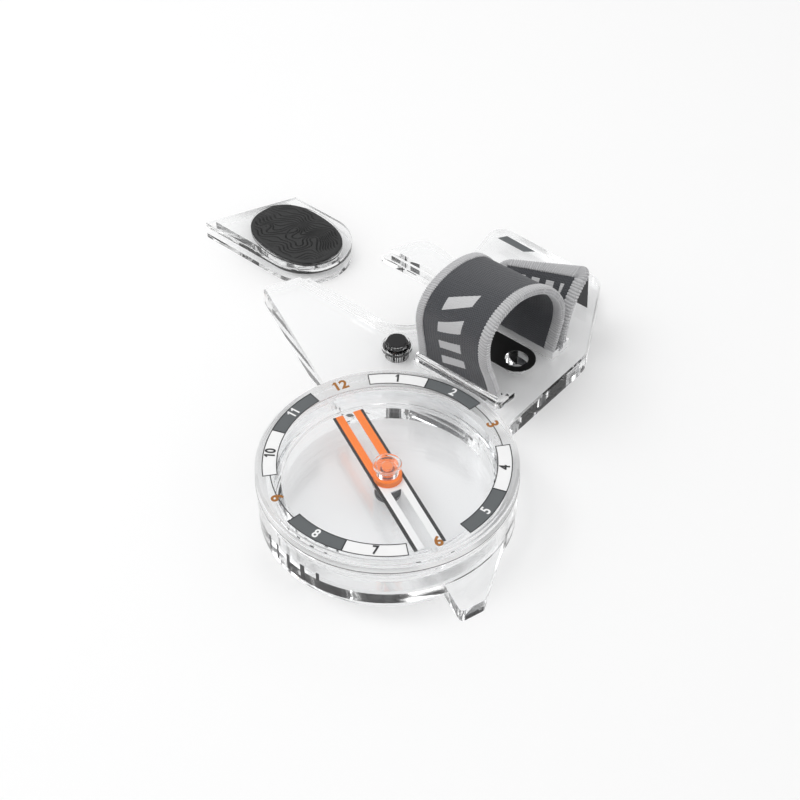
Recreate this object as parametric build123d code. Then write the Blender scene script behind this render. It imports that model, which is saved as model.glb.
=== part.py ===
"""Thumb baseplate compass: clear plate, turning capsule, needle, slide-in thumb rest and strap.

Millimetres. The origin is on the needle axis at the underside. +Y is the pointing direction,
along the ruler edge, +X is towards the thumb side, and +Z is up.
"""
from build123d import *
import math
import os

os.makedirs("parts", exist_ok=True)

# ---------------------------------------------------------------- driving dimensions
PLATE_T = 3.8            # thickness of the clear plate
TERRACE_T = 2.8          # thinner border of the thumb plate, on the near side
FRONT_Y = 61.3           # front edge of the pointer and the wing
TAIL_Y = -29.7           # rear end of the ruler edge
THUMB_TURN = 24.7        # the thumb side is laid out in a frame turned this much about Z

COLLAR_R = 23.3          # outside of the collar that holds the capsule
COLLAR_TOP = 8.6
COLLAR_FLOOR = 1.2       # plate left under the capsule
BORE_R = 20.3            # inside of the collar
CAPSULE_R = 20.05        # outside of the cup
CAVITY_R = 18.9          # inside of the cup
CUP_BOTTOM = 1.5
CUP_FLOOR = 2.9
CUP_TOP = 8.9            # the lid is bonded on here
BOND_T = 0.02            # gap that the bond between cup and lid fills
LID_R = 23.35
LID_TOP = 11.5
WINDOW_T = 0.6           # clear window of the lid
DIAL_INNER_R = 19.46
DIAL_OUTER_R = 22.0
DIAL_BLOCK_ANGLE = 29.8  # angle covered by one printed block
PRINT_T = 0.12           # thickness of the printed or inlaid layers

NEEDLE_Z = 6.9           # underside of the needle plate
NEEDLE_T = 0.2
NEEDLE_LENGTH = 35.2
NEEDLE_WIDTH = 6.0
NEEDLE_SLOT = 2.1        # gap between the two stripes
HUB_R = 2.6
HUB_PLATE_Y = 3.45       # the stripes' gap stops this far from the axis
HUB_TOP = 8.2
CAP_R = 2.6
CAP_TOP = 10.6
CAP_BODY_R = 2.0
PIN_R = 0.35
PIN_TIP = 9.45

GAP_U = 42.3             # centre line of the thumb-rest gap, in the turned frame
GAP_V = 31.6             # centre of its round end
GAP_R = 9.5
TONGUE = 2.0             # the tongue in the middle of the gap's wall stands this proud
TONGUE_LOW = 1.25
TONGUE_HIGH = 2.55
REST_CLEARANCE = 0.2     # between the thumb rest and the gap, all round
REST_OUT = 27.0          # the thumb rest is drawn out of its gap by this much
PAD_LENGTH = 21.6
PAD_WIDTH = 15.0
PAD_SETBACK = 3.2        # from the centre of the round end to the pad's centre

STRAP_W = 19.5
STRAP_T = 1.3
EDGING_W = 2.0           # overlocked edging along both sides of the strap
STRAP_V = 8.95           # middle of the strap's width, in the turned frame
SLOT_CLEARANCE = 0.35
ANCHOR_U = 31.6          # slot at the anchored end
RIDGE_U = 29.65          # ridge beside that slot
LOCK_U = 48.8            # slot that the loop goes down through
TAIL_U = 52.2            # slot that the free end comes up through
BAR_UNDER = 1.9          # underside of the bar between the last two slots

FOOT_U, FOOT_V = 29.55, 23.1
FOOT_R = 2.35
FOOT_CROWN_R = 1.95
LANYARD_U, LANYARD_V = 42.1, 3.3
LANYARD_R = 2.3
MARK_R = 3.75            # half width of the dark pill round the lanyard hole
MARK_LENGTH = 11.8       # between the centres of its round ends


# ---------------------------------------------------------------- helpers
def turned(shape):
    """Places a shape made in the thumb side's own frame."""
    return Rot(0, 0, THUMB_TURN) * shape


def disc(radius, low, high, u=0.0, v=0.0):
    """Upright cylinder between two heights."""
    return Pos(u, v, (low + high) / 2) * Cylinder(radius, high - low)


def ring(outer, inner, low, high, u=0.0, v=0.0):
    """Upright tube between two heights."""
    return disc(outer, low, high, u, v) - disc(inner, low - 1, high + 1, u, v)


def block(u_low, u_high, v_low, v_high, low, high):
    """Box from its six limits."""
    centre = ((u_low + u_high) / 2, (v_low + v_high) / 2, (low + high) / 2)
    return Pos(*centre) * Box(u_high - u_low, v_high - v_low, high - low)


def slab(face, low, high):
    """Flat face, raised to a height and thickened upwards."""
    return Pos(0, 0, low) * extrude(face, high - low)


def tunnel(radius, v_end, low, high):
    """Straight-sided prism along the gap's centre line, with one round end."""
    straight = block(GAP_U - radius, GAP_U + radius, GAP_V, v_end, low, high)
    return straight + disc(radius, low, high, GAP_U, GAP_V)


def one(shape):
    """The single solid of a result."""
    solids = shape.solids()
    assert len(solids) == 1, len(solids)
    return solids[0]


def save(shape, node):
    export_step(shape, f"parts/{node}.step")


# ---------------------------------------------------------------- baseplate
def plate_outline():
    """Outline of the clear plate, as corners with their rounding radii."""
    corners = [
        ((0, TAIL_Y), 0.8),
        ((4.7, -29.1), 0.8),
        ((20.8, -10.6), 1.5),
        ((19.0, 1.3), 1.5),
        ((49.5, 15.5), 8.0),
        ((63.6, 34.1), 4.0),
        ((52.7, 59.7), 3.5),
        ((40.3, 50.6), 2.6),
        ((37.0, FRONT_Y), 4.0),
        ((0, FRONT_Y), 0.8),
    ]
    face = make_face(Polyline([p for p, _ in corners], close=True))
    for (x, y), radius in corners:
        if radius:
            corner = face.vertices().sort_by_distance((x, y, 0))[0]
            face = fillet(corner, radius)
    return face


def terrace():
    """Material taken off the thumb plate's near border, with a sloping step."""
    step = 0.8
    v_top = -1.0
    profile = Polyline(
        (v_top, PLATE_T + 1),
        (v_top, PLATE_T),
        (v_top - step, TERRACE_T),
        (-40, TERRACE_T),
        (-40, PLATE_T + 1),
        close=True,
    )
    wedge = extrude(make_face(Plane.YZ * profile), 60)
    return turned(Pos(12, 0, 0) * wedge)


def strap_slot(u, low=-1.0, high=PLATE_T + 1.0):
    """Slot across the thumb plate that the strap passes through."""
    half_t = STRAP_T / 2 + SLOT_CLEARANCE
    half_w = STRAP_W / 2 + SLOT_CLEARANCE
    return block(u - half_t, u + half_t, STRAP_V - half_w, STRAP_V + half_w, low, high)


def strap_recess(u_low, u_high):
    """Shallow pocket in the underside, so that the strap doesn't touch the map."""
    half_w = STRAP_W / 2 + SLOT_CLEARANCE
    return block(u_low, u_high, STRAP_V - half_w, STRAP_V + half_w, -1, BAR_UNDER)


def round_bar(start, end, start_radius, end_radius):
    """Round-ended bar between two points; its radius may change along its length."""
    axis = Vector(*end) - Vector(*start)
    middle = Vector(*start) + axis / 2
    rod = Plane(origin=middle, z_dir=axis) * Cone(start_radius, end_radius, axis.length)
    return rod + Pos(*start) * Sphere(start_radius) + Pos(*end) * Sphere(end_radius)


def anchor_ridge():
    """Round ridge beside the strap's anchored end, thicker towards the near side, where it
    turns round the strap's edge."""
    corner = (RIDGE_U, STRAP_V - STRAP_W / 2 - 1.3, PLATE_T + 0.6)
    far_end = (RIDGE_U + 0.4, STRAP_V + STRAP_W / 2 - 0.9, PLATE_T + 0.35)
    tip = (ANCHOR_U + 1.5, corner[1], corner[2] - 0.3)
    return round_bar(far_end, corner, 0.65, 1.0) + round_bar(corner, tip, 1.0, 0.9)


def foot_shape():
    """Plug with a narrower crown, which is pushed in from the underside."""
    shoulder = PLATE_T + 0.5
    stem = disc(FOOT_R, 0, shoulder, FOOT_U, FOOT_V)
    return stem + disc(FOOT_CROWN_R, shoulder, PLATE_T + 1.9, FOOT_U, FOOT_V)


def foot_boss():
    """Clear collar round the plug, tapering towards the plug's crown."""
    shoulder = PLATE_T + 0.6
    height = 1.0
    base = disc(FOOT_R + 0.7, PLATE_T - 0.5, shoulder, FOOT_U, FOOT_V)
    cone = Pos(FOOT_U, FOOT_V, shoulder + height / 2) * Cone(FOOT_R + 0.45, FOOT_CROWN_R + 0.4, height)
    return base + cone


def lanyard_mark():
    """Dark pill inlaid round the lanyard hole."""
    top = PLATE_T
    low = top - PRINT_T
    far_v = LANYARD_V + MARK_LENGTH
    pill = disc(MARK_R, low, top, LANYARD_U, LANYARD_V)
    pill += disc(MARK_R, low, top, LANYARD_U, far_v)
    pill += block(LANYARD_U - MARK_R, LANYARD_U + MARK_R, LANYARD_V, far_v, low, top)
    return pill - disc(LANYARD_R, low - 1, top + 1, LANYARD_U, LANYARD_V)


def baseplate():
    plate = slab(plate_outline(), 0, PLATE_T)
    plate = chamfer(one(plate).faces().sort_by(Axis.Z)[-1].edges(), 0.3)
    plate -= terrace()
    thumb = tunnel(GAP_R, 80, -1, TONGUE_LOW)
    thumb += tunnel(GAP_R - TONGUE, 80, TONGUE_LOW, TONGUE_HIGH)
    thumb += tunnel(GAP_R, 80, TONGUE_HIGH, PLATE_T + 1)
    thumb += strap_slot(ANCHOR_U) + strap_slot(LOCK_U) + strap_slot(TAIL_U)
    thumb += strap_recess(ANCHOR_U - 1.8, ANCHOR_U + 1.8)
    thumb += strap_recess(LOCK_U - 1.0, TAIL_U + 1.0)
    thumb += disc(LANYARD_R, -1, PLATE_T + 1, LANYARD_U, LANYARD_V)
    plate -= turned(thumb)
    plate -= turned(lanyard_mark())
    plate += turned(anchor_ridge())
    plate -= turned(strap_slot(ANCHOR_U))
    plate += turned(foot_boss())
    plate -= turned(foot_shape())
    collar = disc(COLLAR_R, 0, COLLAR_TOP)
    collar = chamfer(collar.edges().sort_by(Axis.Z)[-1], 0.3)
    plate += collar
    plate -= disc(BORE_R, COLLAR_FLOOR, COLLAR_TOP + 1)
    plate -= disc(BORE_R + 0.35, 5.4, 6.2)
    return one(plate)


def glide_ring():
    """Thin ring on top of the collar that the capsule's rim turns on."""
    return one(ring(COLLAR_R + 0.1, COLLAR_R - 1.8, COLLAR_TOP, COLLAR_TOP + 0.25))


def friction_foot():
    """Rubber plug through the plate: it grips the map underneath and shows on top."""
    return one(turned(foot_shape()))


# ---------------------------------------------------------------- capsule
def capsule_cup():
    cup = disc(CAPSULE_R, CUP_BOTTOM, CUP_TOP) - disc(CAVITY_R, CUP_FLOOR, CUP_TOP + 1)
    cup += ring(CAPSULE_R + 0.3, CAPSULE_R - 0.5, 5.6, 6.0)
    cup -= filler_plug()
    cup -= pivot_post_stem()
    return one(cup)


def filler_plug():
    """Stopper of the hole that the damping liquid goes in through."""
    depth = CAPSULE_R - CAVITY_R + 2
    plug = Pos(0, -(CAVITY_R + depth / 2 - 1), 7.6) * Rot(90, 0, 0) * Cylinder(0.6, depth)
    return plug & ring(CAPSULE_R - 0.1, CAVITY_R + 0.1, CUP_FLOOR, CUP_TOP)


def pivot_post_stem():
    return disc(0.9, 2.1, CUP_FLOOR)


def pivot_post():
    post = pivot_post_stem()
    post += disc(2.4, CUP_FLOOR, CUP_FLOOR + 0.5)
    post += Pos(0, 0, CUP_FLOOR + 1.25) * Cone(2.0, 1.0, 1.5)
    post -= disc(PIN_R, 2.5, 9)
    return one(post)


def pivot_pin():
    shaft_top = PIN_TIP - 0.7
    pin = disc(PIN_R, 2.5, shaft_top)
    pin += Pos(0, 0, (shaft_top + PIN_TIP) / 2) * Cone(PIN_R, 0.05, PIN_TIP - shaft_top)
    return one(pin)


def dial_block(middle_angle):
    """One printed block of the dial, centred on an angle from +Y, clockwise."""
    half = math.radians(DIAL_BLOCK_ANGLE / 2)
    middle = math.radians(90 - middle_angle)

    def point(radius, angle):
        return (radius * math.cos(angle), radius * math.sin(angle))

    outer = ThreePointArc(
        point(DIAL_OUTER_R, middle - half),
        point(DIAL_OUTER_R, middle),
        point(DIAL_OUTER_R, middle + half),
    )
    inner = ThreePointArc(
        point(DIAL_INNER_R, middle + half),
        point(DIAL_INNER_R, middle),
        point(DIAL_INNER_R, middle - half),
    )
    sides = [Line(outer @ 1, inner @ 0), Line(inner @ 1, outer @ 0)]
    return slab(make_face([outer, sides[0], inner, sides[1]]), LID_TOP - PRINT_T, LID_TOP)


def dial_blocks(side):
    """The four blocks on one side of the diagonals: side -1 is light, +1 is dark."""
    return [dial_block(45 + 90 * quarter + side * DIAL_BLOCK_ANGLE / 2) for quarter in range(4)]


def capsule_lid():
    lid = disc(LID_R, CUP_TOP + BOND_T, LID_TOP)
    lid = chamfer(lid.edges().sort_by(Axis.Z)[-1], 0.5)
    lid -= disc(CAVITY_R, CUP_TOP - 1, LID_TOP - WINDOW_T)
    for piece in dial_blocks(-1) + dial_blocks(1):
        lid -= piece
    return one(lid)


# ---------------------------------------------------------------- needle
def needle_plate():
    """Flat strip with two stripes, joined at the hub."""
    half_l = NEEDLE_LENGTH / 2
    half_w = NEEDLE_WIDTH / 2
    top = NEEDLE_Z + NEEDLE_T
    strip = block(-half_w, half_w, -half_l, half_l, NEEDLE_Z, top)
    for near, far in ((-half_l - 1, -HUB_PLATE_Y), (HUB_PLATE_Y, half_l + 1)):
        strip -= block(-NEEDLE_SLOT / 2, NEEDLE_SLOT / 2, near, far, NEEDLE_Z - 1, top + 1)
    return one(strip - disc(1.35, NEEDLE_Z - 1, top + 1))


def needle_magnet():
    return one(ring(2.8, 1.35, NEEDLE_Z - 1.1, NEEDLE_Z))


def needle_hub():
    return one(ring(HUB_R, 1.35, NEEDLE_Z + NEEDLE_T, HUB_TOP))


def jewel_cap():
    """Clear cap with a thin flange round its top."""
    cap = disc(CAP_R, CAP_TOP - 0.45, CAP_TOP)
    cap = fillet(cap.edges().sort_by(Axis.Z)[-1], 0.2)
    cap += disc(CAP_BODY_R, HUB_TOP, CAP_TOP - 0.4)
    return one(cap - disc(1.1, HUB_TOP - 1, CAP_TOP - 0.5))


def jewel_bearing():
    """Hard seat with a conical socket that the pin's tip turns in."""
    top = CAP_TOP - 0.5
    low = HUB_TOP + 0.2
    seat = disc(1.1, low, top)
    socket = Pos(0, 0, (low + PIN_TIP + 0.06) / 2) * Cone(0.95, 0.12, PIN_TIP + 0.06 - low)
    return one(seat - socket)


# ---------------------------------------------------------------- thumb rest
def front_cut():
    """Half space in front of the seated thumb rest."""
    return Pos(20, FRONT_Y + 40, 5) * Box(200, 80, 40)


def drawn_out(shape):
    """Moves a piece of the thumb rest out of the gap, along the gap."""
    return turned(Pos(0, REST_OUT, 0) * Rot(0, 0, -THUMB_TURN) * shape)


def pad_shape(margin, low, high):
    """Oval prism along the middle of the thumb rest, larger than the pad by a margin."""
    oval = Rot(0, 0, 85) * Ellipse(PAD_LENGTH / 2 + margin, PAD_WIDTH / 2 + margin)
    return slab(Pos(GAP_U, GAP_V + PAD_SETBACK) * oval, low, high)


def thumb_rest_plate():
    flange = GAP_R - REST_CLEARANCE
    web = flange - TONGUE
    low = TONGUE_LOW - REST_CLEARANCE
    high = TONGUE_HIGH + REST_CLEARANCE
    body = tunnel(flange, 80, 0, low)
    body += tunnel(web, 80, low, high)
    body += tunnel(flange, 80, high, PLATE_T)
    body += pad_shape(0.6, PLATE_T - 0.5, PLATE_T + 0.35)
    body -= pad_shape(0, PLATE_T - 0.6, PLATE_T + 2)
    return one(drawn_out(turned(body) - front_cut()))


def thumb_rest_pad():
    pad = pad_shape(0, PLATE_T - 0.6, PLATE_T + 0.75)
    pad = fillet(pad.edges().sort_by(Axis.Z)[-1], 0.35)
    return one(drawn_out(turned(pad)))


# ---------------------------------------------------------------- strap
STRAP_LINE = [           # middle of the strap's thickness, across the turned frame: u, z
    (ANCHOR_U, 1.2), (ANCHOR_U, 3.4), (29.8, 9.2), (27.7, 15.0), (27.6, 20.4),
    (30.6, 23.8), (36.0, 25.0), (41.6, 23.4), (46.6, 20.0), (50.2, 15.0),
    (51.0, 10.6), (49.9, 6.6), (LOCK_U, 3.4), (LOCK_U, 1.8), (50.5, 0.86),
    (TAIL_U, 1.8), (TAIL_U, 3.6), (52.9, 7.4), (54.5, 11.6), (57.0, 14.9), (60.0, 17.3),
]


def strap_faces():
    """Outer and inner sides of the strap, half a thickness from its middle line."""
    line = Spline(*STRAP_LINE)
    steps = 60
    sides = ([], [])
    for index in range(steps + 1):
        t = index / steps
        point = line @ t
        along = line % t
        for side, sign in zip(sides, (1, -1)):
            side.append((point.X - sign * along.Y * STRAP_T / 2, point.Y + sign * along.X * STRAP_T / 2))
    return sides


def strap_length(v_low, v_high):
    """The strap's curved section, over part of its width."""
    left, right = strap_faces()
    ends = [Line(left[-1], right[-1]), Line(left[0], right[0])]
    section = make_face(Plane.XZ * Curve([Spline(*left), ends[0], Spline(*right), ends[1]]))
    hem = block(ANCHOR_U - 1.4, ANCHOR_U + 1.4, v_low, v_high, 0.2, 1.5)
    band = Pos(0, v_high, 0) * extrude(section, v_high - v_low, dir=(0, -1, 0)) + hem
    return one(turned(band) - beyond_free_end())


def beyond_free_end():
    """Space past the free end, which is cut on a slant: longest on the near side."""
    near_corner = Vector(60.1, STRAP_V - STRAP_W / 2, 17.4)
    far_corner = Vector(57.6, STRAP_V + STRAP_W / 2, 10.5)
    through_cloth = Vector(0.869, 0, -0.495)
    outward = through_cloth.cross(far_corner - near_corner)
    space = Plane(origin=near_corner, z_dir=outward) * Pos(0, 0, 30) * Box(80, 80, 60)
    return turned(space & block(TAIL_U - 0.2, 100, -20, 40, 0, 60))


def thumb_strap():
    half = STRAP_W / 2 - EDGING_W
    return strap_length(STRAP_V - half, STRAP_V + half)


def strap_edging(side):
    """Edging on the near side (-1) or the far side (+1) of the strap."""
    inner = STRAP_V + side * (STRAP_W / 2 - EDGING_W)
    outer = STRAP_V + side * STRAP_W / 2
    return strap_length(min(inner, outer), max(inner, outer))


# ---------------------------------------------------------------- the sub-parts
save(baseplate(), "baseplate")
save(friction_foot(), "friction_foot")
save(glide_ring(), "glide_ring")
save(one(turned(lanyard_mark())), "lanyard_mark")
save(capsule_cup(), "capsule_cup")
save(capsule_lid(), "capsule_lid")
save(filler_plug(), "filler_plug")
save(pivot_post(), "pivot_post")
save(pivot_pin(), "pivot_pin")
save(Compound(dial_blocks(-1)), "dial_light_blocks")
save(Compound(dial_blocks(1)), "dial_dark_blocks")
save(needle_plate(), "needle_plate")
save(needle_magnet(), "needle_magnet")
save(needle_hub(), "needle_hub")
save(jewel_cap(), "jewel_cap")
save(jewel_bearing(), "jewel_bearing")
save(thumb_rest_plate(), "thumb_rest_plate")
save(thumb_rest_pad(), "thumb_rest_pad")
save(thumb_strap(), "thumb_strap")
save(strap_edging(-1), "strap_edging_near")
save(strap_edging(1), "strap_edging_far")
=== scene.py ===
"""Looks of the thumb baseplate compass: materials, printed dial, woven strap and studio.

Everything is in metres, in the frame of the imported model: the origin is on the needle's axis at
the underside, +Y is the pointing direction and +Z is up.
"""
import math

import bmesh
import bpy
import numpy as np
from mathutils import Matrix, Vector


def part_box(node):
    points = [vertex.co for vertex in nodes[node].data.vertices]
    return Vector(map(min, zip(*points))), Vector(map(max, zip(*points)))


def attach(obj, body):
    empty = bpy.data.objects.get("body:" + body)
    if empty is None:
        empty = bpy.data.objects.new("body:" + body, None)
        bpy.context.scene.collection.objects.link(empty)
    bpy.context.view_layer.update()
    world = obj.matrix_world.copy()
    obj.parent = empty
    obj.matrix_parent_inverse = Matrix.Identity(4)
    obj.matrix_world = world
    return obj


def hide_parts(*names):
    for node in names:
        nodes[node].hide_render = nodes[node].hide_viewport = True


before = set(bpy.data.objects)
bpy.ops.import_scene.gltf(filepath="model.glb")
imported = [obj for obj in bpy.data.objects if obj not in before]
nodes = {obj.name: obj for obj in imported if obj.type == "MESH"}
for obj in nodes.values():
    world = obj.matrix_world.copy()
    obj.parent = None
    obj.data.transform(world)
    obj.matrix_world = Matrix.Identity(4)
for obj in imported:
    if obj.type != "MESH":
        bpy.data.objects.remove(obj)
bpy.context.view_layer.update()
MM = 0.001

# ---------------------------------------------------------------- sizes
# The dial's plane comes from the frame; the rest repeats what the part was built with.
dial_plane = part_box("capsule_lid")[1].z
DIAL_INNER_R = 19.46 * MM
DIAL_OUTER_R = 22.0 * MM
DIAL_MIDDLE_R = (DIAL_INNER_R + DIAL_OUTER_R) / 2
CUP_SIDE_R = 20.05 * MM
LID_UNDERSIDE = 9.0 * MM
ORANGE_HUB_R = 2.68 * MM
# Plain millimetres, for points that are scaled once they are placed.
PLATE_TOP = 3.8
COLLAR_R = 23.3
INK = 0.03
THUMB_TURN = math.radians(24.7)


def at(u, v, z=0.0):
    """Point given in the thumb side's turned frame, in millimetres, as metres in the row frame."""
    cos, sin = math.cos(THUMB_TURN), math.sin(THUMB_TURN)
    return Vector((u * cos - v * sin, u * sin + v * cos, z)) * MM


# ---------------------------------------------------------------- node helpers
def new_material(name):
    """New material and its node tree, emptied."""
    material = bpy.data.materials.new(name)
    material.use_nodes = True
    tree = material.node_tree
    tree.nodes.clear()
    return material, tree


def add(tree, kind, **values):
    """New shader node; values are socket names, or node attributes with a leading underscore."""
    node = tree.nodes.new(kind)
    for key, value in values.items():
        if key.startswith("_"):
            setattr(node, key[1:], value)
        else:
            node.inputs[key.replace("_", " ")].default_value = value
    return node


def link(tree, source, target):
    tree.links.new(source, target)


def noise(tree, vector, scale, detail=2.0):
    """Noise value at a place."""
    node = add(tree, "ShaderNodeTexNoise", Scale=scale, Detail=detail)
    link(tree, vector, node.inputs["Vector"])
    return node.outputs["Fac"]


def remap(tree, value, low, high, to_low, to_high):
    """Value carried from low..high to to_low..to_high, and held at the ends."""
    node = add(tree, "ShaderNodeMapRange")
    for index, number in zip((1, 2, 3, 4), (low, high, to_low, to_high)):
        node.inputs[index].default_value = number
    link(tree, value, node.inputs[0])
    return node.outputs[0]


def maths(tree, operation, *inputs):
    """One math node; inputs are sockets or numbers."""
    node = add(tree, "ShaderNodeMath", _operation=operation)
    for index, value in enumerate(inputs):
        if isinstance(value, (int, float)):
            node.inputs[index].default_value = value
        else:
            link(tree, value, node.inputs[index])
    return node.outputs[0]


def mix_colour(tree, factor, first, second):
    node = add(tree, "ShaderNodeMix", _data_type="RGBA")
    for index, value in ((0, factor), (6, first), (7, second)):
        if isinstance(value, (tuple, float, int)):
            node.inputs[index].default_value = value
        else:
            link(tree, value, node.inputs[index])
    return node.outputs[2]


def bump(tree, height, strength, distance):
    node = add(tree, "ShaderNodeBump", Strength=strength, Distance=distance)
    link(tree, height, node.inputs["Height"])
    return node.outputs["Normal"]


def axes_of(tree, vector):
    """The three numbers of a vector."""
    node = add(tree, "ShaderNodeSeparateXYZ")
    link(tree, vector, node.inputs[0])
    return node.outputs[0], node.outputs[1], node.outputs[2]


def between(tree, value, low, high):
    """1 where the value lies between low and high, else 0."""
    return maths(tree, "MULTIPLY", maths(tree, "GREATER_THAN", value, low),
                 maths(tree, "LESS_THAN", value, high))


def distance_from_axis(tree, x, y):
    """How far a place is from the needle's axis."""
    return maths(tree, "SQRT", maths(tree, "ADD", maths(tree, "MULTIPLY", x, x),
                                     maths(tree, "MULTIPLY", y, y)))


def object_position(tree):
    return add(tree, "ShaderNodeTexCoord").outputs["Object"]


def mix_shader(tree, factor, first, second):
    node = add(tree, "ShaderNodeMixShader")
    if isinstance(factor, float):
        node.inputs[0].default_value = factor
    else:
        link(tree, factor, node.inputs[0])
    link(tree, first, node.inputs[1])
    link(tree, second, node.inputs[2])
    return node.outputs[0]


def finish_material(tree, shader):
    output = add(tree, "ShaderNodeOutputMaterial")
    link(tree, shader, output.inputs["Surface"])


def finish_clear(tree, shader):
    """Ends a clear material: the light that falls on other things passes it almost unchanged."""
    through = add(tree, "ShaderNodeBsdfTransparent", Color=(0.998, 0.999, 1.0, 1.0))
    path = add(tree, "ShaderNodeLightPath")
    passing = maths(tree, "MAXIMUM", path.outputs["Is Shadow Ray"], path.outputs["Is Diffuse Ray"])
    finish_material(tree, mix_shader(tree, passing, shader, through.outputs[0]))


# ---------------------------------------------------------------- materials
def acrylic(tree, position, tint, wear_scale):
    """Shader of polished acrylic with faint wear, which bends light as the real one does."""
    body = add(tree, "ShaderNodeBsdfPrincipled", Base_Color=tint, IOR=1.49)
    body.inputs["Transmission Weight"].default_value = 1.0
    wear = noise(tree, position, wear_scale, 3.0)
    link(tree, remap(tree, wear, 0.4, 0.75, 0.0, 0.045), body.inputs["Roughness"])
    return body


def clear_plastic(name, tint, wear_scale):
    """Clear acrylic with a faint ripple; lamps shine through it to what lies below."""
    material, tree = new_material(name)
    position = object_position(tree)
    body = acrylic(tree, position, tint, wear_scale)
    ripple = noise(tree, position, 90.0)
    link(tree, bump(tree, ripple, 0.05, 0.0004), body.inputs["Normal"])
    finish_clear(tree, body.outputs[0])
    return material


def capsule_plastic():
    """The capsule's acrylic. In place of the liquid that would fill the capsule, the view passes
    almost straight near the dial and through the cup's side; elsewhere it bends as usual."""
    straight_r, straight_low, glint_share = 22.6 * MM, 8.0 * MM, 0.03
    material, tree = new_material("clear_capsule_acrylic")
    position = object_position(tree)
    body = acrylic(tree, position, (1.0, 1.0, 1.0, 1.0), 60.0)
    straight = add(tree, "ShaderNodeBsdfTransparent", Color=(0.99, 0.992, 0.994, 1.0))
    glint = add(tree, "ShaderNodeBsdfGlossy", Roughness=0.03)
    window = mix_shader(tree, glint_share, straight.outputs[0], glint.outputs[0])
    x, y, z = axes_of(tree, position)
    radius = distance_from_axis(tree, x, y)
    lid_or_below = maths(tree, "MAXIMUM", maths(tree, "LESS_THAN", radius, straight_r),
                         maths(tree, "LESS_THAN", z, LID_UNDERSIDE))
    near_dial = maths(tree, "MULTIPLY", lid_or_below, maths(tree, "GREATER_THAN", z, straight_low))
    cup_side = maths(tree, "COMPARE", radius, CUP_SIDE_R, 0.15 * MM)
    inside = maths(tree, "MAXIMUM", cup_side, near_dial)
    finish_clear(tree, mix_shader(tree, inside, body.outputs[0], window))
    return material


def rubber(name, colour, grain):
    """Dull black rubber with a fine grain."""
    material, tree = new_material(name)
    position = object_position(tree)
    body = add(tree, "ShaderNodeBsdfPrincipled")
    dark = tuple(c * 0.75 for c in colour[:3]) + (1.0,)
    cloud = noise(tree, position, 260.0)
    link(tree, mix_colour(tree, cloud, dark, colour), body.inputs["Base Color"])
    link(tree, remap(tree, cloud, 0.3, 0.7, 0.48, 0.62), body.inputs["Roughness"])
    link(tree, bump(tree, noise(tree, position, grain, 4.0), 0.25, 0.00006), body.inputs["Normal"])
    finish_material(tree, body.outputs[0])
    return material


def printed(name, colour):
    """Opaque ink, a little uneven."""
    material, tree = new_material(name)
    position = object_position(tree)
    body = add(tree, "ShaderNodeBsdfPrincipled")
    shade = tuple(c * 0.93 for c in colour[:3]) + (1.0,)
    link(tree, mix_colour(tree, noise(tree, position, 500.0), shade, colour), body.inputs["Base Color"])
    link(tree, remap(tree, noise(tree, position, 900.0), 0.3, 0.7, 0.32, 0.42), body.inputs["Roughness"])
    finish_material(tree, body.outputs[0])
    return material


def metal(name, colour, rough):
    """Plain metal, a little uneven in its shine."""
    material, tree = new_material(name)
    position = object_position(tree)
    body = add(tree, "ShaderNodeBsdfPrincipled", Base_Color=colour, Metallic=1.0)
    link(tree, remap(tree, noise(tree, position, 1500.0), 0.3, 0.7, rough, rough + 0.12),
         body.inputs["Roughness"])
    finish_material(tree, body.outputs[0])
    return material


ORANGE = (1.0, 0.215, 0.012, 1.0)
WHITE = (0.9, 0.9, 0.9, 1.0)
BLACK = (0.012, 0.012, 0.013, 1.0)


def needle_paint():
    """Orange hub and north half, white south half, and black outer edges, wider to the south."""
    material, tree = new_material("needle_paint")
    position = object_position(tree)
    x, y, _ = axes_of(tree, position)
    hub = maths(tree, "LESS_THAN", distance_from_axis(tree, x, y), ORANGE_HUB_R)
    north = maths(tree, "GREATER_THAN", y, 0.0)
    paint = mix_colour(tree, maths(tree, "MAXIMUM", north, hub), WHITE, ORANGE)
    black_from = remap(tree, y, -8.0 * MM, 4.0 * MM, 2.36 * MM, 2.5 * MM)
    edge = maths(tree, "GREATER_THAN", maths(tree, "ABSOLUTE", x), black_from)
    painted = mix_colour(tree, edge, paint, BLACK)
    body = add(tree, "ShaderNodeBsdfPrincipled")
    link(tree, painted, body.inputs["Base Color"])
    link(tree, remap(tree, noise(tree, position, 900.0), 0.3, 0.7, 0.3, 0.4), body.inputs["Roughness"])
    finish_material(tree, body.outputs[0])
    return material


def assign(material, *names):
    """Gives CAD nodes a material."""
    for name in names:
        slots = nodes[name].data.materials
        slots.clear()
        slots.append(material)


assign(clear_plastic("clear_acrylic", (0.985, 0.987, 0.988, 1.0), 120.0),
       "baseplate", "thumb_rest_plate")
assign(capsule_plastic(), "capsule_cup", "capsule_lid")
clear_cap = clear_plastic("clear_cap_acrylic", (1.0, 1.0, 1.0, 1.0), 300.0)
jewel_seat = printed("jewel_seat", ORANGE)
assign(rubber("foot_rubber", (0.011, 0.011, 0.012, 1.0), 5000.0), "friction_foot")
assign(printed("mark_ink", (0.01, 0.01, 0.01, 1.0)), "lanyard_mark")
assign(printed("white_ink", (0.92, 0.92, 0.92, 1.0)), "dial_light_blocks")
grey_ink = printed("grey_ink", (0.115, 0.125, 0.13, 1.0))
assign(grey_ink, "dial_dark_blocks")
assign(printed("glide_plastic", (0.8, 0.8, 0.8, 1.0)), "glide_ring")
assign(printed("plug_plastic", (0.75, 0.76, 0.76, 1.0)), "filler_plug")
assign(printed("post_plastic", (0.12, 0.12, 0.125, 1.0)), "pivot_post")
assign(printed("hub_plastic", ORANGE), "needle_hub")
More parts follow.
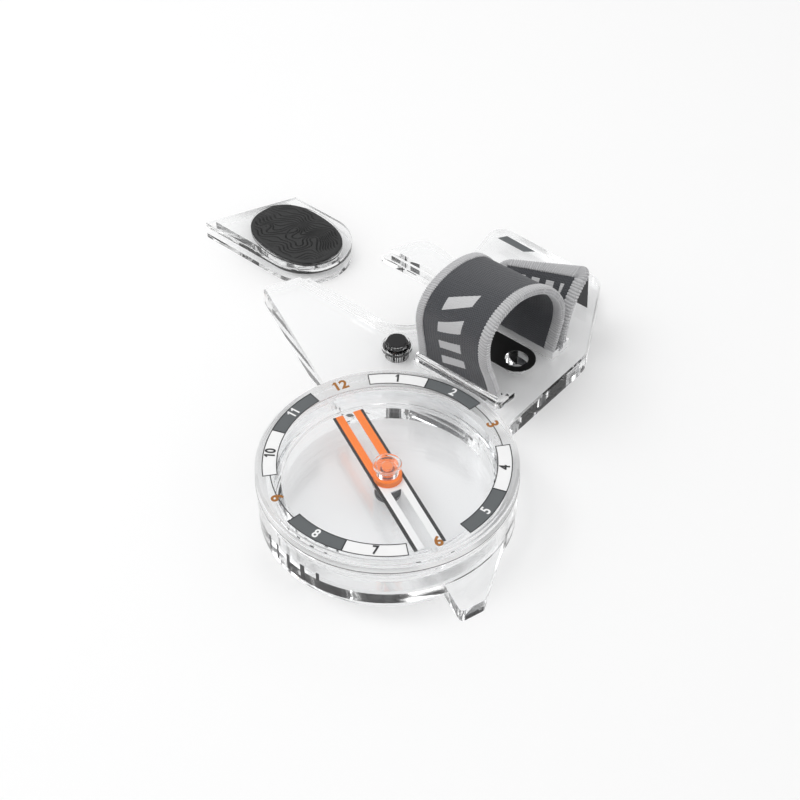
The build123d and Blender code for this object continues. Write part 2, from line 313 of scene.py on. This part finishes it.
assign(needle_paint(), "needle_plate")
assign(metal("magnet_nickel", (0.35, 0.35, 0.37, 1.0), 0.3), "needle_magnet")
assign(metal("pin_steel", (0.6, 0.6, 0.62, 1.0), 0.2), "pivot_pin")


# ---------------------------------------------------------------- mesh helpers
def new_object(name, verts, faces, material, smooth=True):
    mesh = bpy.data.meshes.new(name)
    mesh.from_pydata([tuple(v) for v in verts], [], faces)
    mesh.validate()
    mesh.materials.append(material)
    for polygon in mesh.polygons:
        polygon.use_smooth = smooth
    obj = bpy.data.objects.new(name, mesh)
    bpy.context.scene.collection.objects.link(obj)
    return obj


def lathe(name, profile, material, steps=96):
    """Solid turned round the needle's axis; the profile runs from axis to axis, in mm."""
    verts, faces, rings = [], [], []
    for radius, z in profile:
        count = 1 if radius == 0 else steps
        rings.append((len(verts), count))
        for i in range(count):
            t = 2 * math.pi * i / steps
            verts.append(Vector((radius * math.cos(t), radius * math.sin(t), z)) * MM)
    for (low, low_count), (high, high_count) in zip(rings, rings[1:]):
        for i in range(steps):
            j = (i + 1) % steps
            corners = [low + i % low_count, low + j % low_count,
                       high + j % high_count, high + i % high_count]
            face = [c for k, c in enumerate(corners) if c not in corners[:k]]
            faces.append(face)
    obj = new_object(name, verts, faces, material)
    obj.data.set_sharp_from_angle(angle=math.radians(32))
    return obj


def jewel():
    """Clear cap with a rounded lip, and the orange seat in its hollow."""
    low, high = (corner.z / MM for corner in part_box("jewel_cap"))
    outline = [(0, high - 0.54), (1.06, high - 0.54), (1.06, low + 0.03), (1.96, low + 0.03),
               (2.0, low + 0.08), (2.0, high - 0.6), (2.1, high - 0.5), (2.5, high - 0.45),
               (2.58, high - 0.37), (2.6, high - 0.2), (2.56, high - 0.06), (2.46, high),
               (2.3, high), (2.18, high - 0.05), (2.05, high - 0.16), (1.95, high - 0.18),
               (0, high - 0.18)]
    cap = lathe("jewel_cap_turned", outline, clear_cap)
    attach(cap, "needle")
    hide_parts("jewel_cap")
    seat_low, seat_high = (corner.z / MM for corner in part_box("jewel_bearing"))
    outline = [(0, 9.54), (0.12, 9.54), (0.9, seat_low + 0.03), (1.02, seat_low + 0.03),
               (1.02, seat_high - 0.12), (0.96, seat_high - 0.07), (0, seat_high - 0.07)]
    seat = lathe("jewel_seat_turned", outline, jewel_seat)
    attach(seat, "needle")
    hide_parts("jewel_bearing")


jewel()


# ---------------------------------------------------------------- printed dial
INK_T = INK * MM
LINE_HALF = 0.09 * MM
BLOCK_HALF = 29.8  # degrees either side of a block's middle
ink_black = printed("dial_line_ink", (0.03, 0.03, 0.032, 1.0))
ink_white = printed("dial_number_white", (0.93, 0.93, 0.93, 1.0))
ink_gold = printed("dial_number_gold", (0.37, 0.14, 0.018, 1.0))


def dial_point(radius, clock_angle, z):
    """Point on the dial; the angle is clockwise from +Y, in degrees."""
    a = math.radians(90 - clock_angle)
    return Vector((radius * math.cos(a), radius * math.sin(a), z))


def strip_mesh(paths, half_width, z, thickness):
    """Flat ribbons of ink along open paths of points in the dial's plane."""
    verts, faces = [], []
    for path in paths:
        start = len(verts)
        for index, point in enumerate(path):
            before = path[max(index - 1, 0)]
            after = path[min(index + 1, len(path) - 1)]
            along = (after - before).normalized()
            side = Vector((-along.y, along.x, 0)) * half_width
            for offset, height in ((side, z), (-side, z), (-side, z + thickness), (side, z + thickness)):
                verts.append(Vector((point.x + offset.x, point.y + offset.y, height)))
        count = len(path)
        for index in range(count - 1):
            a = start + index * 4
            for k in range(4):
                faces.append((a + k, a + (k + 1) % 4, a + 4 + (k + 1) % 4, a + 4 + k))
        last = start + (count - 1) * 4
        faces.append((start + 3, start + 2, start + 1, start))
        faces.append((last, last + 1, last + 2, last + 3))
    return verts, faces


def arc(radius, first, last, steps=24):
    return [dial_point(radius, first + (last - first) * i / steps, 0) for i in range(steps + 1)]


def dial_outlines():
    """Thin dark lines round the blocks, and the arcs that run past 3 and 9."""
    paths = []
    for quarter in range(4):
        middle = 45 + 90 * quarter
        for first, last in ((middle - BLOCK_HALF, middle), (middle, middle + BLOCK_HALF)):
            paths.append(arc(DIAL_OUTER_R, first, last))
            paths.append(arc(DIAL_INNER_R, first, last))
            for angle in (first, last):
                radii = (DIAL_INNER_R - LINE_HALF, DIAL_MIDDLE_R, DIAL_OUTER_R + LINE_HALF)
                paths.append([dial_point(r, angle, 0) for r in radii])
    for middle in (90, 270):
        paths.append(arc(DIAL_MIDDLE_R, middle - 15.2, middle + 15.2))
    verts, faces = strip_mesh(paths, LINE_HALF, dial_plane, INK_T)
    obj = new_object("dial_outlines", verts, faces, ink_black, smooth=False)
    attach(obj, "capsule")


def add_flags(mesh, number, size, bevel, half):
    """The font's 1 is a bare stem; this adds the short slanting flag at its top."""
    left, right = (pick(v.co.x for v in mesh.vertices) for pick in (min, max))
    stem = size * 0.096 + 2 * bevel
    top = size * 0.381 + bevel
    shape = bmesh.new()
    shape.from_mesh(mesh)
    for x in [left, right - stem] if number == 11 else [left]:
        corners = [(x + 0.1, top), (x - 0.4, top - 0.43),
                   (x - 0.27, top - 0.66), (x + 0.1, top - 0.36)]
        low, high = ([shape.verts.new((cx, cy, z)) for cx, cy in corners] for z in (-half, half))
        shape.faces.new(high)
        shape.faces.new(low[::-1])
        for k in range(4):
            shape.faces.new((low[k], low[(k + 1) % 4], high[(k + 1) % 4], high[k]))
    shape.to_mesh(mesh)
    shape.free()


def dial_number(number, material):
    """One number on the dial's circle. From 4 to 8 its top faces the centre, else outwards."""
    curve = bpy.data.curves.new(f"dial_number_{number}", "FONT")
    curve.body = str(number)
    curve.align_x = "CENTER"
    curve.align_y = "CENTER"
    gold = number % 3 == 0
    curve.size = 3.0 if gold else 2.6
    curve.space_character = 0.95
    curve.bevel_depth = 0.1 if gold else 0.07
    curve.bevel_resolution = 1
    curve.extrude = 0.02
    flatten = INK_T / 2 / MM / (curve.extrude + curve.bevel_depth)
    text = bpy.data.objects.new(f"dial_number_{number}_text", curve)
    bpy.context.scene.collection.objects.link(text)
    bpy.context.view_layer.update()
    mesh = bpy.data.meshes.new_from_object(text.evaluated_get(bpy.context.evaluated_depsgraph_get()))
    if number in (1, 10, 11, 12):
        add_flags(mesh, number, curve.size, curve.bevel_depth, curve.extrude + curve.bevel_depth)
    bpy.data.objects.remove(text)
    mesh.materials.clear()
    mesh.materials.append(material)
    angle = number * 30
    centre = dial_point(DIAL_MIDDLE_R, angle, dial_plane + INK_T * 1.6)
    turn = -math.radians(angle + (180 if 4 <= number <= 8 else 0))
    cos, sin = math.cos(turn), math.sin(turn)
    for v in mesh.vertices:
        x, y = v.co.x * (1.0 if gold else 0.86), v.co.y
        v.co = centre + Vector((x * cos - y * sin, x * sin + y * cos, v.co.z * flatten)) * MM
    obj = bpy.data.objects.new(f"dial_number_{number}", mesh)
    bpy.context.scene.collection.objects.link(obj)
    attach(obj, "capsule")


def dial_numbers():
    """Gold quarters, and black or white numbers on the light and dark blocks."""
    for number in range(1, 13):
        if number % 3 == 0:
            dial_number(number, ink_gold)
        elif number % 3 == 1:
            dial_number(number, ink_black)
        else:
            dial_number(number, ink_white)


dial_outlines()
dial_numbers()


# ---------------------------------------------------------------- thumb strap
# Middle of the band's thickness along its two edges: u, v, z in the thumb side's turned frame.
NEAR_V, FAR_V = -0.8, 18.7
BAND_EDGES = [
    ((31.6, NEAR_V, 1.2), (31.6, FAR_V, 1.2)),
    ((31.6, NEAR_V, 3.4), (31.6, FAR_V, 3.4)),
    ((29.8, NEAR_V, 9.2), (30.5, 18.2, 9.2)),
    ((27.7, NEAR_V, 15.0), (29.5, 17.8, 14.7)),
    ((27.6, NEAR_V, 20.4), (29.7, 17.3, 18.6)),
    ((30.6, NEAR_V, 23.8), (31.6, 17.0, 21.2)),
    ((36.0, NEAR_V, 25.0), (36.0, 17.0, 22.3)),
    ((41.6, NEAR_V, 23.4), (41.2, 17.0, 21.9)),
    ((46.6, NEAR_V, 20.0), (46.2, 17.2, 19.6)),
    ((50.2, NEAR_V, 15.0), (50.2, 17.8, 15.0)),
    ((51.0, NEAR_V, 10.6), (51.0, 18.2, 10.6)),
    ((49.9, NEAR_V, 6.6), (49.9, 18.5, 6.6)),
    ((48.8, NEAR_V, 3.4), (48.8, FAR_V, 3.4)),
    ((48.8, NEAR_V, 1.8), (48.8, FAR_V, 1.8)),
    ((50.5, NEAR_V, 0.86), (50.5, FAR_V, 0.86)),
    ((52.2, NEAR_V, 1.8), (52.2, FAR_V, 1.8)),
    ((52.2, NEAR_V, 3.6), (52.2, FAR_V, 3.6)),
    ((52.9, NEAR_V, 7.4), (53.2, FAR_V, 5.8)),
    ((54.5, NEAR_V, 11.6), (54.3, FAR_V, 7.9)),
    ((57.0, NEAR_V, 14.9), (55.8, FAR_V, 9.5)),
    ((60.0, NEAR_V, 17.3), (57.6, FAR_V, 10.5)),
]
BAND_W = FAR_V - NEAR_V
HALF_BAND = 0.5
CORNER_R = 2.2
HEM_U, HEM_Z = 31.6, 0.85
HEM_HALF_WIDTH, HEM_HALF_HEIGHT = 1.35, 0.62


def smooth_line(points, steps):
    """Points on a Catmull-Rom curve through the given ones."""
    points = np.array(points, float)
    padded = np.vstack([2 * points[0] - points[1], points, 2 * points[-1] - points[-2]])
    t = np.linspace(0, len(points) - 1 - 1e-9, steps)
    i = t.astype(int)
    f = (t - i)[:, None]
    a, b, c, d = (padded[i + k] for k in range(4))
    return 0.5 * (2 * b + (c - a) * f + (2 * a - 5 * b + 4 * c - d) * f**2
                  + (3 * b - a - 3 * c + d) * f**3)


class Band:
    """The strap's curved middle surface: a is millimetres along it, b across it."""

    def __init__(self):
        near, far = (smooth_line(edge, 4000) for edge in zip(*BAND_EDGES))
        run = np.linalg.norm(np.diff((near + far) / 2, axis=0), axis=1)
        self.along = np.concatenate([[0], np.cumsum(run)])
        self.length = self.along[-1]
        self.near, self.far = near, far
        self.slope = [np.gradient(side, self.along, axis=0) for side in (near, far)]

    def point(self, a, b, height):
        """Row-frame points, in metres, at a height over the middle surface."""
        w = (b / BAND_W)[:, None]

        def read(table):
            return np.stack([np.interp(a, self.along, table[:, k]) for k in range(3)], axis=1)

        near, far = read(self.near), read(self.far)
        along = read(self.slope[0]) * (1 - w) + read(self.slope[1]) * w
        beyond = np.maximum(a - self.length, 0.0)[:, None]
        normal = np.cross(far - near, along)
        normal /= np.linalg.norm(normal, axis=1)[:, None]
        p = near * (1 - w) + far * w + along * beyond + normal * height[:, None]
        cos, sin = math.cos(THUMB_TURN), math.sin(THUMB_TURN)
        return np.stack([p[:, 0] * cos - p[:, 1] * sin, p[:, 0] * sin + p[:, 1] * cos, p[:, 2]],
                        axis=1) * MM


def ring_faces(rings, around, closed_ends=True):
    """Quads between rings of the same number of points, with caps at both ends."""
    k = np.arange(around)
    faces = []
    for r in range(rings - 1):
        low = r * around
        quads = np.stack([low + k, low + (k + 1) % around, low + around + (k + 1) % around,
                          low + around + k], axis=1)
        faces.extend(quads.tolist())
    if closed_ends:
        faces.append(list(range(around))[::-1])
        faces.append(list(range((rings - 1) * around, rings * around)))
    return faces


def add_cloth_places(obj, a, b, lift=None):
    """Stores each point's place on the flat cloth, in metres, and how far its thread stands out, which
    the cloth material turns into painted shade between the stitches.
    """
    layer = obj.data.attributes.new("cloth", "FLOAT_VECTOR", "POINT")
    flat = np.stack([a, b, np.ones_like(a) if lift is None else lift], axis=1) * MM
    layer.data.foreach_set("vector", flat.astype(np.float32).ravel())


def webbing(band):
    """The dark ribbed band, one rib every 0.42 mm, inside its edging."""
    rib, per_rib, across = 0.42, 4, 34
    rows = int(band.length / rib * per_rib)
    end = band.length - 0.5
    a_row = np.linspace(0, end, rows)
    left = end - a_row
    corner = np.where(left < CORNER_R, CORNER_R - np.sqrt(np.maximum(
        CORNER_R**2 - (CORNER_R - np.minimum(left, CORNER_R))**2, 0)), 0)
    b_low, b_high = 0.5 + corner, BAND_W - 0.5 - corner
    share = np.linspace(0, 1, across)
    share = np.concatenate([share, share[::-1]])
    side = np.concatenate([np.ones(across), -np.ones(across)])
    a = np.repeat(a_row, 2 * across)
    b = (b_low[:, None] + (b_high - b_low)[:, None] * share[None, :]).ravel()
    sides = np.tile(side, rows)
    relief = HALF_BAND + 0.035 * np.cos(2 * math.pi * a / rib)
    points = band.point(a, b, sides * relief)
    obj = new_object("strap_webbing", points, ring_faces(rows, 2 * across), strap_cloth)
    add_cloth_places(obj, a, b)
    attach(obj, "baseplate")
    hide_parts("thumb_strap")
    return obj


def edging_path(band, far):
    """Stations on the edging's outer edge: place on the band and the inward direction."""
    length, step = band.length, 0.08
    straight = np.arange(0, length - CORNER_R, step)
    turn = np.linspace(0, math.pi / 2, int(CORNER_R * 1.57 / step))
    end = np.arange(CORNER_R, BAND_W / 2 + 0.05, step)
    a = np.concatenate([straight, length - CORNER_R + CORNER_R * np.sin(turn), np.full(len(end), length)])
    b = np.concatenate([np.zeros(len(straight)), CORNER_R - CORNER_R * np.cos(turn), end])
    in_a = np.concatenate([np.zeros(len(straight)), -np.sin(turn), -np.ones(len(end))])
    in_b = np.concatenate([np.ones(len(straight)), np.cos(turn), np.zeros(len(end))])
    if far:
        b, in_b = BAND_W - b, -in_b
    return a, b, in_a, in_b


def edging(band, name, node, far):
    """Overlocked edging: threads wrapped over the band's edge, one every 0.5 mm."""
    profile = [(2.0, 0.5), (1.94, 0.62), (1.7, 0.68), (1.2, 0.7), (0.7, 0.68), (0.3, 0.58), (0.08, 0.36),
               (0.0, 0.0), (0.08, -0.36), (0.3, -0.58), (0.7, -0.68), (1.2, -0.7), (1.7, -0.68),
               (1.94, -0.62), (2.0, -0.5)]
    inset, height = (np.array(c) for c in zip(*profile))
    a, b, in_a, in_b = edging_path(band, far)
    run = np.concatenate([[0], np.cumsum(np.hypot(np.diff(a), np.diff(b)))])
    pitch = 0.5
    phase = run[:, None] / pitch + inset[None, :] * 0.3 * np.sign(height)[None, :]
    wobble = 0.12 * np.sin(run * 1.7)[:, None] + 0.1 * np.sin(run * 4.3 + 1.0)[:, None]
    thread = 0.5 + 0.5 * np.cos(2 * math.pi * (phase + wobble))
    puff = 0.13 * thread
    deep = inset[None, :] - puff * (inset[None, :] < 1.0)
    tall = height[None, :] + puff * np.sign(height)[None, :] * (np.abs(height) > 0.3)[None, :]
    deep = deep + 0.12 * thread * (inset[None, :] > 1.9)
    place_a = (a[:, None] + in_a[:, None] * deep).ravel()
    place_b = (b[:, None] + in_b[:, None] * deep).ravel()
    points = band.point(place_a, place_b, tall.ravel())
    obj = new_object(name, points, ring_faces(len(a), len(profile)), edging_thread)
    add_cloth_places(obj, np.repeat(run, len(profile)), np.tile(inset, len(a)), thread.ravel())
    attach(obj, "baseplate")
    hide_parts(node)
    return obj


def hem():
    """The folded end that stops the band from pulling up through its slot."""
    around, rows = 24, 90
    angle = np.linspace(0, 2 * math.pi, around, endpoint=False)
    share = np.linspace(0, 1, rows)
    v = NEAR_V + 0.15 + share * (FAR_V - NEAR_V - 0.3)
    round_off = 1 - 0.35 * np.clip(1 - np.minimum(share, 1 - share) * 40, 0, 1) ** 2
    points = []
    for place, size in zip(v, round_off):
        lump = 1 + 0.03 * math.cos(place * 2 * math.pi / 0.9)
        for t in angle:
            c, s = math.cos(t), math.sin(t)
            u = HEM_U + HEM_HALF_WIDTH * size * lump * math.copysign(abs(c) ** 0.6, c)
            z = HEM_Z + HEM_HALF_HEIGHT * size * lump * math.copysign(abs(s) ** 0.6, s)
            points.append(at(u, place, z))
    obj = new_object("strap_hem", points, ring_faces(rows, around), strap_cloth)
    add_cloth_places(obj, np.tile(angle * 0.6, rows), np.repeat(v, around))
    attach(obj, "baseplate")
    return obj


def cloth_material(name, colour, dark, thread_a, thread_b, pattern):
    """Woven or stitched thread. Its colour is darkened where the weave sits low, as painted shade between
    the ribs, and where the stored lift is low, as painted shade between the stitches; the fluff noise
    adds random tone. Thread counts are per metre of cloth.
    """
    material, tree = new_material(name)
    place = add(tree, "ShaderNodeAttribute", _attribute_name="cloth")
    a, b, lift = axes_of(tree, place.outputs["Vector"])
    along = maths(tree, "SINE", maths(tree, "MULTIPLY", a, thread_a * 2 * math.pi))
    across = maths(tree, "SINE", maths(tree, "MULTIPLY", b, thread_b * 2 * math.pi))
    weave = maths(tree, "MULTIPLY", along, across)
    fluff = noise(tree, place.outputs["Vector"], 3500.0, 3.0)
    height = maths(tree, "ADD", weave, maths(tree, "MULTIPLY", fluff, 1.6))
    body = add(tree, "ShaderNodeBsdfPrincipled", Roughness=0.88)
    body.inputs["Sheen Weight"].default_value = 0.25
    body.inputs["Sheen Roughness"].default_value = 0.6
    # Painted shade: the colour falls to the dark one where the weave sits low; the fluff noise only adds
    # random tone.
    shade = remap(tree, height, -0.4, 1.9, 0.0, 1.0)
    tint = mix_colour(tree, shade, dark, colour)
    # Painted shade between the stitches: where a thread sits low, the colour is darkened further.
    stitch_shade_factor = remap(tree, lift, 0.0, 0.6 * MM, 0.3, 1.0)
    tint = mix_colour(tree, stitch_shade_factor, dark, tint)
    if pattern is not None:
        tint = mix_colour(tree, pattern(tree, a, b), tint, (0.56, 0.56, 0.57, 1.0))
    link(tree, tint, body.inputs["Base Color"])
    link(tree, bump(tree, height, 0.5, 0.00005), body.inputs["Normal"])
    finish_material(tree, body.outputs[0])
    return material


STRAP = Band()


def woven_bars(tree, a, b):
    """Plain slanted bars in light thread: large on the front of the loop, small by the free end."""
    def bars(place, pitch, share):
        period = maths(tree, "FRACT", maths(tree, "DIVIDE", place, pitch))
        return maths(tree, "LESS_THAN", period, share)

    slanted = maths(tree, "ADD", a, maths(tree, "MULTIPLY", b, 0.45))
    front = maths(tree, "MULTIPLY", between(tree, b, 7.2 * MM, 13.4 * MM),
                  between(tree, slanted, 10.4 * MM, 31.0 * MM))
    large = maths(tree, "MULTIPLY", bars(slanted, 5.2 * MM, 0.5), front)
    left = maths(tree, "SUBTRACT", STRAP.length * MM, a)
    slanted = maths(tree, "ADD", b, maths(tree, "MULTIPLY", left, 0.2))
    row = maths(tree, "MULTIPLY", between(tree, b, 3.6 * MM, 16.4 * MM),
                between(tree, left, 3.4 * MM, 5.6 * MM))
    small = maths(tree, "MULTIPLY", bars(slanted, 3.3 * MM, 0.55), row)
    return maths(tree, "MAXIMUM", large, small)


# The second colour of each is the painted shade in the low parts of the weave and between the stitches.
strap_cloth = cloth_material("strap_webbing_cloth", (0.066, 0.07, 0.081, 1.0), (0.018, 0.019, 0.023, 1.0),
                             2380.0, 1500.0, woven_bars)
edging_thread = cloth_material("strap_edging_thread", (0.78, 0.78, 0.79, 1.0), (0.30, 0.30, 0.31, 1.0),
                               2000.0, 4200.0, None)


def strap():
    """The band, its two edgings and its hem."""
    cloth = webbing(STRAP)
    pieces = [
        edging(STRAP, "strap_overlock_near", "strap_edging_near", far=False),
        edging(STRAP, "strap_overlock_far", "strap_edging_far", far=True),
        hem(),
    ]


strap()


# ---------------------------------------------------------------- thumb rest's pad
PAD_CENTRE = (42.3, 61.8)
PAD_LENGTH, PAD_WIDTH = 21.6, 15.0
PAD_TURN = math.radians(85)
PAD_LOW, PAD_HIGH = 3.2, 4.55


def hills(x, y):
    """Height of made-up hills, whose level lines are the pad's grooves."""
    peaks = [(-4.2, -1.4, 3.4, 2.4), (1.0, -1.0, 2.3, 2.0), (6.0, 2.6, 1.3, 1.1), (-8.0, 3.0, 1.6, 2.8)]
    total = 0.62 * y - 0.16 * x + 0.45 * np.sin(0.7 * x + 0.35 * y) + 0.22 * np.sin(1.7 * x - 0.6 * y)
    for px, py, tall, wide in peaks:
        total = total + tall * np.exp(-((x - px) ** 2 + (y - py) ** 2) / wide**2)
    return total


def pad():
    """Rubber pad with grooves along the level lines of hills."""
    around, rings = 560, 150
    angle = np.linspace(0, 2 * math.pi, around, endpoint=False)
    share = np.linspace(1, 0.004, rings)
    blunt_cos, blunt_sin = (np.sign(c) * np.abs(c) ** 0.84 for c in (np.cos(angle), np.sin(angle)))
    x = (np.outer(share, blunt_cos) * PAD_LENGTH / 2).ravel()
    y = (np.outer(share, blunt_sin) * PAD_WIDTH / 2).ravel()
    edge = (1 - np.repeat(share, around)) * PAD_WIDTH / 2
    round_off = 0.45
    inside = np.clip(1 - edge / round_off, 0, 1)
    top = PAD_HIGH - round_off * (1 - np.sqrt(1 - inside**2))
    h = hills(x, y)
    small = 0.01
    steep = np.hypot(hills(x + small, y) - h, hills(x, y + small) - h) / small
    level_step = 0.62
    level = np.abs((h / level_step + 0.5) % 1 - 0.5) * level_step
    distance = level / np.maximum(steep, 0.25)
    groove = 0.3 * np.exp(-((distance / 0.13) ** 2)) * np.clip((edge - 0.5) / 0.3, 0, 1)
    grain = 0.004 * np.sin(9 * x + 3 * np.sin(5 * y))
    z = top - groove + grain * (edge > 0.6)
    outline = np.stack([x[:around], y[:around], np.full(around, PAD_LOW)], axis=1)
    ring0 = np.stack([x[:around] * 0.2, y[:around] * 0.2, np.full(around, PAD_LOW)], axis=1)
    points = np.vstack([ring0, outline, np.stack([x, y, z], axis=1)])
    cos, sin = math.cos(PAD_TURN), math.sin(PAD_TURN)
    places = [at(PAD_CENTRE[0] + px * cos - py * sin, PAD_CENTRE[1] + px * sin + py * cos, pz)
              for px, py, pz in points]
    obj = new_object("thumb_rest_pad_grooved", places, ring_faces(rings + 2, around), pad_rubber)
    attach(obj, "thumb_rest")
    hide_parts("thumb_rest_pad")


pad_rubber = rubber("pad_rubber", (0.025, 0.0255, 0.026, 1.0), 2600.0)
pad()


# ---------------------------------------------------------------- printed marks and seam line
def printed_shape(name, corners, z, material, body):
    """Thin layer of ink with straight sides; corners are x, y in millimetres."""
    low = [Vector((x, y, z)) * MM for x, y in corners]
    high = [Vector((x, y, z + INK)) * MM for x, y in corners]
    count = len(corners)
    faces = [list(range(count)), list(range(count, 2 * count))[::-1]]
    faces += [(k, count + k, count + (k + 1) % count, (k + 1) % count) for k in range(count)]
    obj = new_object(name, low + high, faces, material, smooth=False)
    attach(obj, body)


def side_ticks():
    """Plain upright bars printed on the collar's side, where it faces the tail's far side."""
    bars = [(266.0, 1.3, 1.2, 4.6), (259.5, 1.6, 1.0, 4.8), (252.0, 1.9, 1.0, 4.8),
            (243.5, 2.4, 1.0, 4.8), (235.5, 1.6, 2.9, 4.8)]
    verts, faces = [], []
    for middle, half, low, high in bars:
        columns = 9
        for r in (COLLAR_R, COLLAR_R + INK):
            for i in range(columns):
                clock = middle - half * 0.5 + half * i / (columns - 1)
                for z in (low, high):
                    verts.append(dial_point(r * MM, clock, z * MM))
        start = len(verts) - columns * 4
        inner, outer = start, start + columns * 2
        for i in range(columns - 1):
            a, b = i * 2, i * 2 + 2
            faces.append((outer + a, outer + a + 1, outer + b + 1, outer + b))
            faces.append((inner + b, inner + b + 1, inner + a + 1, inner + a))
            faces.append((inner + a + 1, inner + b + 1, outer + b + 1, outer + a + 1))
            faces.append((inner + b, inner + a, outer + a, outer + b))
        last = columns * 2 - 2
        faces.append((inner, inner + 1, outer + 1, outer))
        faces.append((outer + last, outer + last + 1, inner + last + 1, inner + last))
    obj = new_object("side_ticks", verts, faces, ink_black, smooth=False)
    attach(obj, "baseplate")


def seam_line():
    """Thin dark line round the seam between the collar and the turning capsule."""
    around, small = 256, 8
    seam_r, seam_z = 23.36 * MM, 8.73 * MM
    half_width, half_height = 0.07 * MM, 0.09 * MM
    points = []
    for i in range(around):
        t = 2 * math.pi * i / around
        for k in range(small):
            a = 2 * math.pi * k / small
            r, z = seam_r + half_width * math.cos(a), seam_z + half_height * math.sin(a)
            points.append(Vector((r * math.cos(t), r * math.sin(t), z)))
    faces = ring_faces(around, small, closed_ends=False)
    last = (around - 1) * small
    faces += [(last + k, last + (k + 1) % small, (k + 1) % small, k) for k in range(small)]
    obj = new_object("seam_line", points, faces, ink_black)
    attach(obj, "baseplate")


printed_shape("thumb_mark_dark", [(61.2, 35.4), (56.5, 27.6), (55.2, 30.4), (59.2, 35.5)],
              PLATE_TOP, ink_black, "baseplate")
printed_shape("thumb_mark_grey", [(50.4, 54.9), (52.5, 54.6), (55.4, 47.6), (53.2, 48.6)],
              PLATE_TOP, grey_ink, "baseplate")
side_ticks()
seam_line()


# ---------------------------------------------------------------- studio
def studio_world():
    """White room; a dark band low on its walls and two dark cards at the back give the clear edges
    something to pick up."""
    world = bpy.data.worlds.new("studio")
    world.use_nodes = True
    tree = world.node_tree
    background = tree.nodes["Background"]
    background.inputs["Strength"].default_value = 0.94
    dark = (0.03, 0.03, 0.032, 1.0)
    x, y, height = axes_of(tree, add(tree, "ShaderNodeTexCoord").outputs["Generated"])
    ramp = add(tree, "ShaderNodeValToRGB")
    ramp.color_ramp.elements[0].position = 0.0
    ramp.color_ramp.elements[0].color = dark
    ramp.color_ramp.elements[1].position = 1.0
    ramp.color_ramp.elements[1].color = (0.9, 0.9, 0.9, 1.0)
    for position, value in ((0.19, 0.03), (0.27, 0.85), (0.5, 1.0)):
        step = ramp.color_ramp.elements.new(position)
        step.color = (value, value, value, 1.0)
    link(tree, height, ramp.inputs[0])
    flat = maths(tree, "SQRT", maths(tree, "SUBTRACT", 1.0001, maths(tree, "MULTIPLY", height, height)))
    toward = maths(tree, "ADD", maths(tree, "MULTIPLY", x, 0.415), maths(tree, "MULTIPLY", y, 0.91))
    facing = maths(tree, "DIVIDE", toward, flat)
    across = maths(tree, "MULTIPLY", remap(tree, facing, 0.72, 0.76, 0.0, 1.0),
                   remap(tree, facing, 0.972, 0.982, 1.0, 0.0))
    above = maths(tree, "MULTIPLY", remap(tree, height, 0.57, 0.60, 0.0, 1.0),
                  remap(tree, height, 0.80, 0.83, 1.0, 0.0))
    cards = maths(tree, "MULTIPLY", across, above)
    room = mix_colour(tree, cards, ramp.outputs[0], dark)
    seen = add(tree, "ShaderNodeLightPath").outputs["Is Camera Ray"]
    link(tree, mix_colour(tree, seen, room, (1.3, 1.3, 1.3, 1.0)), background.inputs["Color"])
    return world


def studio():
    """Wide white floor, the room's light and two soft lamps."""
    floor_material, tree = new_material("studio_floor")
    body = add(tree, "ShaderNodeBsdfPrincipled", Base_Color=(0.95, 0.95, 0.95, 1.0), Roughness=0.9)
    finish_material(tree, body.outputs[0])
    size = 3.0
    floor = new_object("floor", [(-size, -size, 0), (size, -size, 0), (size, size, 0), (-size, size, 0)],
                       [(0, 1, 2, 3)], floor_material)
    floor.location.z = -0.02 * MM
    bpy.context.scene.world = studio_world()
    cycles = bpy.context.scene.cycles
    cycles.max_bounces = cycles.transmission_bounces = 32
    cycles.glossy_bounces = cycles.transparent_max_bounces = 32
    for name, place, size, power in (
        ("key", (-0.22, 0.2, 0.5), 0.35, 0.95),
        ("fill", (0.45, -0.2, 0.5), 0.5, 0.24),
    ):
        light = bpy.data.lights.new(name, "AREA")
        light.size = size
        light.energy = power
        lamp = bpy.data.objects.new(name, light)
        lamp.location = place
        aim = Vector((0.02, 0.02, 0.0)) - Vector(place)
        lamp.rotation_euler = aim.to_track_quat("-Z", "Y").to_euler()
        bpy.context.scene.collection.objects.link(lamp)
    bpy.context.scene.view_settings.view_transform = "Standard"


def camera():
    """Long lens, from the left of the tail and above, at 45 degrees."""
    azimuth, elevation, roll = (math.radians(a) for a in (-24.495, 44.687, -0.509))
    forward = -Vector((math.sin(azimuth) * math.cos(elevation),
                       -math.cos(azimuth) * math.cos(elevation), math.sin(elevation)))
    level = forward.cross(Vector((0, 0, 1))).normalized()
    upright = level.cross(forward)
    right = level * math.cos(roll) + upright * math.sin(roll)
    up = upright * math.cos(roll) - level * math.sin(roll)
    data = bpy.data.cameras.new("camera")
    data.sensor_width = 36.0
    data.lens = 74.51
    data.clip_start = 0.01
    obj = bpy.data.objects.new("camera", data)
    turn = Matrix((right, up, -forward)).transposed()
    place = Vector((0, 0, dial_plane)) - (-2.249 * right - 10.595 * up + 291.343 * forward) * MM
    obj.matrix_world = Matrix.Translation(place) @ turn.to_4x4()
    bpy.context.scene.collection.objects.link(obj)
    bpy.context.scene.camera = obj


studio()
camera()
